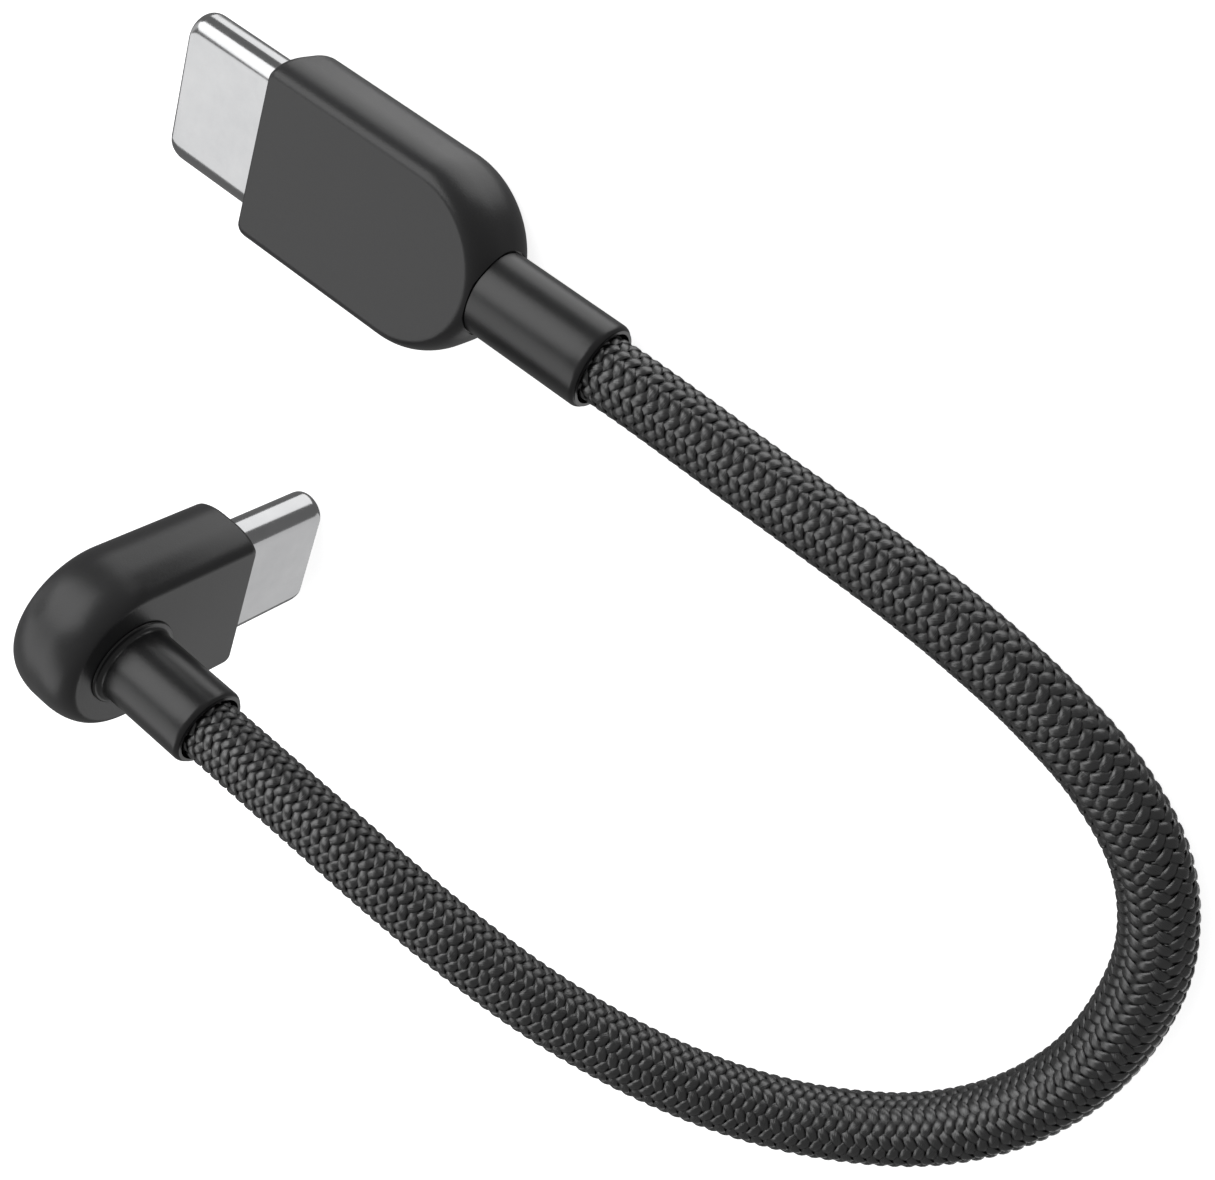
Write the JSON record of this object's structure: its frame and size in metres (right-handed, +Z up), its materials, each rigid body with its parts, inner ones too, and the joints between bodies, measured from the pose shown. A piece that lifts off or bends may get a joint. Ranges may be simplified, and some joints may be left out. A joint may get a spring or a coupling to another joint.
{
  "type": "charging cable",
  "caption": "Short braided charging cable with a straight plug at one end and a right-angle plug at the other.",
  "frame": {"origin": "on the surface that both plugs rest on, under the middle of the box around the two plugs without the cord", "axes": "+X the way the cord leaves both plugs, +Y across the straight plug's broad face towards its side, +Z up"},
  "size_m": [0.0663, 0.034, 0.0192],
  "materials": {
    "plug_shell": "smooth satin nickel plating",
    "contact_carrier": "matt moulded black",
    "gold_contact": "gold plated",
    "spring_steel": "bare rolled",
    "circuit_board": "solder mask",
    "chip_package": "matt moulded",
    "shield_sheet": "tinned sheet",
    "inner_mould": "matt moulded",
    "housing_plastic": "satin, very fine grain",
    "strain_relief_rubber": "satin",
    "ferrule_brass": "plain",
    "cord_braid": "tight woven sleeve",
    "wire_red": "smooth",
    "wire_blue": "smooth",
    "wire_white": "smooth",
    "wire_black": "smooth"
  },
  "bodies": {
    "root": {"straight_shell": "plug_shell", "straight_contact_carrier": "contact_carrier", "straight_latch_plate": "spring_steel", "straight_upper_ground_spring": "spring_steel", "straight_lower_ground_spring": "spring_steel", "straight_circuit_board": "circuit_board", "straight_marker_chip": "chip_package", "straight_upper_shield": "shield_sheet", "straight_lower_shield": "shield_sheet", "straight_inner_mould": "inner_mould", "straight_housing": "housing_plastic", "straight_strain_relief": "strain_relief_rubber", "straight_crimp_ferrule": "ferrule_brass", "straight_cord_end": "cord_braid", "straight_wire_power": "wire_red", "straight_wire_control": "wire_blue", "straight_wire_data": "wire_white", "straight_wire_ground": "wire_black", "straight_contact_a1": "gold_contact", "straight_contact_a4": "gold_contact", "straight_contact_a5": "gold_contact", "straight_contact_a6": "gold_contact", "straight_contact_a7": "gold_contact", "straight_contact_a9": "gold_contact", "straight_contact_a12": "gold_contact", "straight_contact_b1": "gold_contact", "straight_contact_b4": "gold_contact", "straight_contact_b5": "gold_contact", "straight_contact_b9": "gold_contact", "straight_contact_b12": "gold_contact", "angled_shell": "plug_shell", "angled_contact_carrier": "contact_carrier", "angled_latch_plate": "spring_steel", "angled_upper_ground_spring": "spring_steel", "angled_lower_ground_spring": "spring_steel", "angled_circuit_board": "circuit_board", "angled_upper_shield": "shield_sheet", "angled_lower_shield": "shield_sheet", "angled_inner_mould": "inner_mould", "angled_housing": "housing_plastic", "angled_strain_relief": "strain_relief_rubber", "angled_crimp_ferrule": "ferrule_brass", "angled_cord_end": "cord_braid", "angled_wire_power": "wire_red", "angled_wire_control": "wire_blue", "angled_wire_data": "wire_white", "angled_wire_ground": "wire_black", "angled_contact_a1": "gold_contact", "angled_contact_a4": "gold_contact", "angled_contact_a5": "gold_contact", "angled_contact_a6": "gold_contact", "angled_contact_a7": "gold_contact", "angled_contact_a9": "gold_contact", "angled_contact_a12": "gold_contact", "angled_contact_b1": "gold_contact", "angled_contact_b4": "gold_contact", "angled_contact_b5": "gold_contact", "angled_contact_b9": "gold_contact", "angled_contact_b12": "gold_contact", "braided_cord": "cord_braid"}
  },
  "joints": []
}
